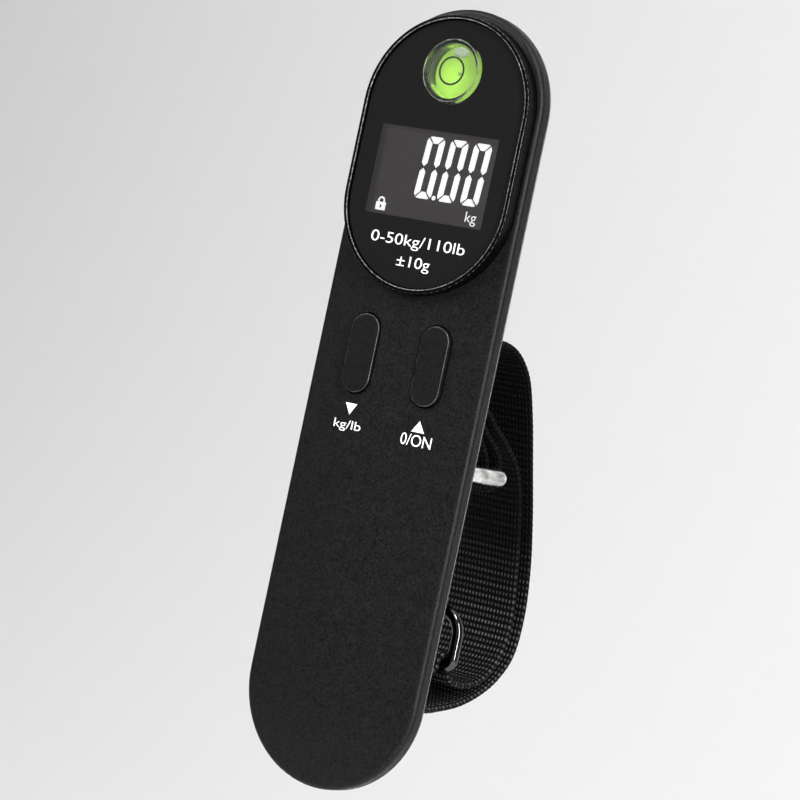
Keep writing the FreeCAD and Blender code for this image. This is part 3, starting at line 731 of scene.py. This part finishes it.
class LSCALE_OT_level(bpy.types.Operator):
    """Finishes the bubble level: clear body, fluid, disc, target and bubble"""
    bl_idname = "lscale.level"
    bl_label = "Bubble level"

    def execute(self, context):
        paint("level_vial", clear_resin("vial_acrylic", (0.84, 0.86, 0.84), 0.03, 1.12, 0.985))
        paint("level_liquid", clear_resin("level_fluid", (0.92, 0.99, 0.80), 0.02, 1.07))
        disc = Finish("level_disc", (0.36, 0.60, 0.10), 0.4)
        cloud = disc.noise(0.003, 2.0)
        disc.colour_from(cloud, (0.30, 0.49, 0.065), (0.36, 0.56, 0.095))
        # painted glow: the disc gives off green light though it is no lamp, so it reads as more brightly lit
        disc.glow((0.42, 0.66, 0.11), 0.24)
        paint("level_base", disc.material)
        ring = Finish("target_ink", (0.002, 0.003, 0.002), 0.6)
        ring.set(Specular_IOR_Level=0.04)
        ring.colour_from(ring.noise(0.0004, 3.0), (0.001, 0.002, 0.001), (0.003, 0.004, 0.002))
        ink = ring.material
        paint("level_target_ring", ink)
        # painted reflection: the air bubble gets a pale grey-green colour and part opacity in place of the
        # light it throws back
        air = Finish("air_bubble", (0.70, 0.84, 0.52), 0.12)
        air.set(Alpha=0.62, IOR=1.33, Specular_IOR_Level=0.25)
        cloud = air.noise(0.001, 2.0)
        air.colour_from(cloud, (0.22, 0.25, 0.19), (0.34, 0.37, 0.31))
        paint("level_bubble", air.material)
        self.vial_edge()
        low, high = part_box("level_base")
        middle = [(a + b) / 2 for a, b in zip(low, high)]
        bm = bmesh.new()
        bmesh.ops.create_circle(bm, cap_ends=False, segments=28, radius=0.32 * MM)
        made = bmesh.ops.extrude_edge_only(bm, edges=bm.edges[:])
        moved = [v for v in made["geom"] if isinstance(v, bmesh.types.BMVert)]
        bmesh.ops.scale(bm, verts=moved, vec=(0.55, 0.55, 1.0))
        made = bmesh.ops.extrude_face_region(bm, geom=bm.faces[:])
        moved = [v for v in made["geom"] if isinstance(v, bmesh.types.BMVert)]
        bmesh.ops.translate(bm, verts=moved, vec=(0.0, 0.0, 0.02 * MM))
        bmesh.ops.rotate(bm, verts=bm.verts, cent=(0, 0, 0), matrix=Matrix.Rotation(math.radians(90), 3, "X"))
        bmesh.ops.translate(bm, verts=bm.verts, vec=(middle[0], low[1] - 0.004 * MM, middle[2]))
        bmesh.ops.recalc_face_normals(bm, faces=bm.faces)
        add_piece("level_centre_mark", mesh_from(bm, "level_centre_mark"), "body", ink, False)
        return {"FINISHED"}

    def vial_edge(self):
        """The rounded edge of the clear body, made bright by a painted highlight in patches."""
        low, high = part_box("level_vial")
        radius = high[0] - 0.16 * MM
        middle = (low[2] + high[2]) / 2
        turn = [math.tau * k / 96 for k in range(96)]
        points = [(radius * math.cos(a), low[1] + 0.15 * MM, middle + radius * math.sin(a)) for a in turn]
        finish = Finish("vial_edge_gloss_and_painted_highlight", (0.2, 0.2, 0.2), 0.12)
        painted_highlight_patches = finish.remap(finish.noise(0.0022, 3.0, 0.6), 0.0, 1.0, (0.40, 0.66))
        # painted highlight: patches from dark grey to pale grey-green round the rim
        finish.colour_from(painted_highlight_patches, (0.03, 0.035, 0.03), (0.34, 0.38, 0.30))
        finish.set(Alpha=0.7)
        ring = tube_loop("vial_edge", points, 0.075 * MM)
        add_piece("vial_edge", ring, "body", finish.material)


class LSCALE_OT_marks(bpy.types.Operator):
    """Prints the arrows and the short words under the two buttons"""
    bl_idname = "lscale.marks"
    bl_label = "Button marks"

    def execute(self, context):
        # the button print glows at 0.15: painted light, as nothing lights it from behind
        ink = printed_ink("button_print", (0.88, 0.88, 0.88), 0.15)
        for name, centre, up in (("arrow_down", (-7.75, -3.62), -1), ("arrow_up", (7.95, -4.25), 1)):
            cx, cz = centre[0] * MM, centre[1] * MM
            half_w, half_h = 1.36 * MM, 1.08 * MM
            base_z = cz - up * half_h
            outline = [(cx - half_w, base_z), (cx + half_w, base_z), (cx, cz + up * half_h)]
            bm = bmesh.new()
            y = face_height(cx)
            plate_from_outline(bm, outline, y + 0.03 * MM, y - 0.03 * MM)
            for v in bm.verts:
                v.co.y += face_height(v.co.x) - y
            bmesh.ops.recalc_face_normals(bm, faces=bm.faces)
            add_piece(name, mesh_from(bm, name), "body", ink, False)
        words = (("unit_words", "kg/lb", (-7.75, -6.92), 6.4), ("power_words", "0/ON", (7.95, -6.92), 6.5))
        for name, text, (x, z), width in words:
            mesh = lettering(name, text, 2.2 * MM, (x * MM, z * MM), 0.0, width * MM, follow=True)
            add_piece(name, mesh, "body", ink, False)
        return {"FINISHED"}


# ---- webbing ---------------------------------------------------------------
# The two bars' centres in (y, z), millimetres.
CROSSBAR = (23.3, -11.05)
HOOK_BAR = (20.0, -48.7)
STEPS_PER_RIB = 4


def arc_points(centre, radius, start, stop, count):
    points = []
    for i in range(count + 1):
        a = math.radians(start + (stop - start) * i / count)
        points.append((centre[0] + radius * math.cos(a), centre[1] + radius * math.sin(a)))
    return points


def web_route():
    """The webbing's centre line in (y, z), millimetres, round the two bars."""
    wrap = 2.52  # from the crossbar's centre to the webbing's centre line
    grip = 2.18  # the same at the hook's bar
    points = arc_points(CROSSBAR, wrap, 0, -180, 8)
    points += [
        (CROSSBAR[0] - wrap, CROSSBAR[1] + 1.55), (19.6, -7.2), (17.2, -4.9), (14.9, -2.9),
        (13.8, -0.4), (13.6, 2.8), (13.6, 8.5), (13.9, 11.8), (15.3, 13.8), (17.4, 14.5),
        (19.6, 14.5), (23.1, 13.7), (26.6, 11.8), (29.9, 8.8), (34.1, 1.3), (38.35, -8.4),
        (42.5, -18.2), (45.9, -28.2), (47.5, -38.0), (46.4, -45.8), (42.5, -50.3), (37.6, -53.3),
        (30.0, -56.0), (22.4, -57.2), (16.8, -57.5), (14.2, -56.2), (14.0, -53.2), (15.6, -50.9),
    ]
    points += arc_points(HOOK_BAR, grip, 190, -10, 8)
    points += [
        (23.4, -51.2), (28.0, -52.4), (34.0, -51.9), (38.0, -50.0), (41.2, -46.6), (42.8, -42.2),
        (42.8, -37.0), (41.4, -30.4), (38.9, -21.8), (36.0, -13.9), (33.5, -9.7), (31.1, -7.2),
        (28.2, -5.2), (24.8, -3.2), (20.6, -1.1), (18.4, 0.5), (16.9, 1.2), (15.75, 0.6),
        (15.7, -0.8), (17.0, -2.0), (19.6, -3.6), (22.6, -5.3), (24.9, -7.3),
        (CROSSBAR[0] + wrap, CROSSBAR[1] + 1.55),
    ]
    return [Vector((0.0, y * MM, z * MM)) for y, z in points]


def smooth_loop(points, per_span=12):
    """A closed centripetal Catmull-Rom line through the points."""
    line = []
    count = len(points)
    for i in range(count):
        p = [points[(i + k - 1) % count] for k in range(4)]
        t = [0.0]
        for a, b in zip(p[:-1], p[1:]):
            t.append(t[-1] + math.sqrt(max((b - a).length, 1e-9)))
        for k in range(per_span):
            u = t[1] + (t[2] - t[1]) * k / per_span
            a = [p[j] * ((t[j + 1] - u) / (t[j + 1] - t[j])) + p[j + 1] * ((u - t[j]) / (t[j + 1] - t[j]))
                 for j in range(3)]
            b = [a[j] * ((t[j + 2] - u) / (t[j + 2] - t[j])) + a[j + 1] * ((u - t[j]) / (t[j + 2] - t[j]))
                 for j in range(2)]
            line.append(b[0] * ((t[2] - u) / (t[2] - t[1])) + b[1] * ((u - t[1]) / (t[2] - t[1])))
    return line


def even_loop(line, count):
    """count points at even distances along a closed line, and its length."""
    reach = [0.0]
    for a, b in zip(line, line[1:] + line[:1]):
        reach.append(reach[-1] + (b - a).length)
    total = reach[-1]
    points = []
    j = 0
    for i in range(count):
        goal = total * i / count
        while reach[j + 1] < goal:
            j += 1
        share = (goal - reach[j]) / (reach[j + 1] - reach[j])
        points.append(line[j].lerp(line[(j + 1) % len(line)], share))
    return points, total


class LSCALE_OT_strap(bpy.types.Operator):
    """Weaves the looped webbing"""
    bl_idname = "lscale.strap"
    bl_label = "Webbing"

    def execute(self, context):
        settings = context.scene.lscale_strap
        line = smooth_loop(web_route())
        _, total = even_loop(line, 8)
        rows = round(total / settings.rib_pitch / 2) * 2
        points, total = even_loop(line, rows * STEPS_PER_RIB)
        mesh = self.band(settings, points, total)
        piece = add_piece("strap_webbing", mesh, "sling", self.fabric(settings, rows, total))
        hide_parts("strap")
        return {"FINISHED"}

    def section(self, settings):
        """Stations round the webbing's section: place across, side, and share of full thickness."""
        half = settings.width / 2
        columns = 26
        across = [-1.0 + 2.0 * i / columns for i in range(columns + 1)]
        places = []
        for side, order in ((1.0, across), (-1.0, across[::-1])):
            for a in order:
                edge = max(0.0, (abs(a) - 0.955) / 0.045)
                places.append((a * half * (1.0 - 0.012 * edge), side, 1.0 - 0.42 * edge))
            places.append((order[-1] * half, side, 0.18))
            places.append((order[-1] * half, -side, 0.18))
        return places

    def band(self, settings, points, total):
        places = self.section(settings)
        count = len(points)
        bm = bmesh.new()
        uv = bm.loops.layers.uv.new("weave")
        bmesh.ops.create_grid(
            bm, x_segments=len(places), y_segments=count, size=0.5, calc_uvs=True)
        half_t = settings.thickness / 2
        relief = 0.13 * MM
        for v in bm.verts:
            i = round((v.co.x + 0.5) * len(places)) % len(places)
            j = round((v.co.y + 0.5) * count) % count
            here = points[j]
            ahead = (points[(j + 2) % count] - points[j - 2]).normalized()
            normal = Vector((0.0, -ahead.z, ahead.y))
            across, side, share = places[i]
            rib = math.sin(math.pi * (j % STEPS_PER_RIB + 0.5) / STEPS_PER_RIB)
            height = share * half_t - relief * (1.0 - rib) * (1.0 if share > 0.5 else 0.2)
            v.co = here + normal * side * height + Vector((across, 0.0, 0.0))
        for face in bm.faces:
            for loop in face.loops:
                u, w = loop[uv].uv
                i = round(u * len(places))
                loop[uv].uv = (places[i % len(places)][0], w * total)
        bmesh.ops.remove_doubles(bm, verts=bm.verts, dist=1e-8)
        bmesh.ops.recalc_face_normals(bm, faces=bm.faces)
        return mesh_from(bm, "strap_webbing")

    def fabric(self, settings, rows, total):
        """Black polyester: rows of yarn beads, paired on every other row, with painted shade between the
        beads and a painted highlight on their crowns that grows brighter low down.
        """
        colour = tuple(settings.colour)
        finish = Finish("black_webbing", colour, 0.45)
        split = finish.node("ShaderNodeSeparateXYZ")
        finish.link(finish.coords("UV"), split.inputs[0])
        across = finish.math("DIVIDE", split.outputs[0], settings.yarn_pitch)
        along = finish.math("DIVIDE", split.outputs[1], total / rows)

        def wave(value, power):
            swing = finish.math("ABSOLUTE", finish.math("SINE", finish.math("MULTIPLY", value, math.pi)))
            return finish.math("POWER", swing, power)

        odd_row = finish.math("GREATER_THAN", finish.math("MODULO", along, 2.0), 1.0)
        pair = wave(finish.math("MULTIPLY", across, 0.5), 1.0)
        beads = finish.math("MULTIPLY", wave(along, 1.9), wave(across, 1.7))
        drop = finish.math("MULTIPLY", finish.math("MULTIPLY", odd_row, pair), 0.45)
        beads = finish.math("MULTIPLY", beads, finish.math("SUBTRACT", 1.0, drop))
        fuzz = finish.noise(0.00030, 4.0, 0.7)
        glint_patches = finish.noise(0.008, 2.0)
        crowns = finish.math("POWER", beads, 1.6)
        # painted highlight on the bead crowns, broken by the fuzz and by larger patches
        lit = finish.math("MULTIPLY", crowns, finish.remap(fuzz, 0.5, 1.3, (0.3, 0.7)))
        lit = finish.math("MULTIPLY", lit, finish.remap(glint_patches, 0.75, 1.15, (0.3, 0.7)))
        height = finish.node("ShaderNodeSeparateXYZ")
        finish.link(finish.coords(), height.inputs[0])
        # painted light: the highlight grows from the top of the loop to its bottom, by height alone
        painted_light_low_down = finish.remap(height.outputs[2], 0.04, 1.0, (-0.022, -0.042))
        lit = finish.math("MULTIPLY", lit, painted_light_low_down)
        # painted shade between the beads, painted highlight on their crowns
        finish.colour_from(lit, tint(colour, 0.20), tint(colour, 52.0))
        finish.link(finish.remap(beads, 0.90, 0.34), finish.shader.inputs["Roughness"])
        normal = finish.bump(beads, 0.00034, 1.0)
        finish.bump(fuzz, 0.00005, 0.5, after=normal)
        finish.set(Specular_IOR_Level=0.07)
        return finish.material


class LSCALE_OT_metal(bpy.types.Operator):
    """Finishes the ring, the hook, the screws and the load cell"""
    bl_idname = "lscale.metal"
    bl_label = "Metal parts"

    def execute(self, context):
        # painted reflection: the ring's streaks run from a tenth of its colour to full, dark and light bands
        # standing in for mirrored surroundings
        paint("shackle_ring", drawn_metal(
            "ring_nickel", (0.96, 0.91, 0.85), (0.14, 0.30), (1.0, 0.10, 1.0), 0.0009, (0.10, 1.14)))
        paint("hook", drawn_metal("hook_steel", (0.065, 0.065, 0.068), (0.09, 0.15)))
        paint("case_screws", drawn_metal("screw_zinc", (0.45, 0.45, 0.46), (0.22, 0.36)))
        paint("load_cell_screws", drawn_metal("cell_screw_zinc", (0.45, 0.45, 0.46), (0.22, 0.36)))
        paint("stirrup_screw", drawn_metal("stirrup_screw_zinc", (0.45, 0.45, 0.46), (0.22, 0.36)))
        paint("stirrup", drawn_metal("stirrup_steel", (0.52, 0.52, 0.53), (0.24, 0.38)))
        paint("load_cell", drawn_metal("cell_aluminium", (0.70, 0.71, 0.73), (0.26, 0.40)))
        paint("coin_cell", drawn_metal("cell_can", (0.66, 0.66, 0.65), (0.20, 0.30)))
        paint("battery_contact", drawn_metal("contact_brass", (0.74, 0.58, 0.28), (0.22, 0.32)))
        return {"FINISHED"}


class LSCALE_OT_inner(bpy.types.Operator):
    """Finishes the board, its chips, the gauges, the switches and the wires"""
    bl_idname = "lscale.inner"
    bl_label = "Inner parts"

    def execute(self, context):
        board = Finish("solder_mask", (0.02, 0.14, 0.06), 0.35)
        tracks = board.node("ShaderNodeTexBrick", Scale=300.0)
        tracks.inputs["Mortar Size"].default_value = 0.03
        board.link(board.coords(), tracks.inputs["Vector"])
        board.colour_from(tracks.outputs["Fac"], (0.02, 0.13, 0.05), (0.05, 0.24, 0.10))
        board.bump(tracks.outputs["Fac"], 0.00003, 0.5)
        paint("main_pcb", board.material)
        paint("pcb_components", smooth_plastic("chip_epoxy", (0.02, 0.02, 0.02), (0.45, 0.6)))
        paint("strain_gauges", smooth_plastic("gauge_film", (0.50, 0.30, 0.08), (0.2, 0.3)))
        paint("gauge_wires", smooth_plastic("wire_sleeve", (0.55, 0.04, 0.03), (0.35, 0.45)))
        for node in ("unit_switch", "power_switch"):
            paint(node, smooth_plastic(node + "_plastic", (0.10, 0.10, 0.10), (0.35, 0.45)))
        return {"FINISHED"}


class LSCALE_PT_panel(bpy.types.Panel):
    """Lists the steps that finish the scale"""
    bl_idname = "LSCALE_PT_panel"
    bl_label = "Luggage Scale"
    bl_space_type = "VIEW_3D"
    bl_region_type = "UI"
    bl_category = "Luggage Scale"

    def draw(self, context):
        layout = self.layout
        for step in STEPS:
            layout.operator(step.bl_idname)


STEPS = (
    LSCALE_OT_stage,
    LSCALE_OT_strap,
    LSCALE_OT_case,
    LSCALE_OT_display,
    LSCALE_OT_level,
    LSCALE_OT_marks,
    LSCALE_OT_metal,
    LSCALE_OT_inner,
)
GROUPS = {
    "lscale_shell": ShellSettings,
    "lscale_display": DisplaySettings,
    "lscale_strap": StrapSettings,
    "lscale_stage": StageSettings,
}


def register():
    for group in GROUPS.values():
        bpy.utils.register_class(group)
    for name, group in GROUPS.items():
        setattr(bpy.types.Scene, name, bpy.props.PointerProperty(type=group))
    for step in STEPS:
        bpy.utils.register_class(step)
    bpy.utils.register_class(LSCALE_PT_panel)


def unregister():
    bpy.utils.unregister_class(LSCALE_PT_panel)
    for step in reversed(STEPS):
        bpy.utils.unregister_class(step)
    for name in GROUPS:
        delattr(bpy.types.Scene, name)
    for group in reversed(list(GROUPS.values())):
        bpy.utils.unregister_class(group)


def main():
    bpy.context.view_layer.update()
    register()
    bpy.ops.lscale.stage()
    bpy.ops.lscale.strap()
    bpy.ops.lscale.case()
    bpy.ops.lscale.display()
    bpy.ops.lscale.level()
    bpy.ops.lscale.marks()
    bpy.ops.lscale.metal()
    bpy.ops.lscale.inner()


if __name__ == "__main__":
    main()
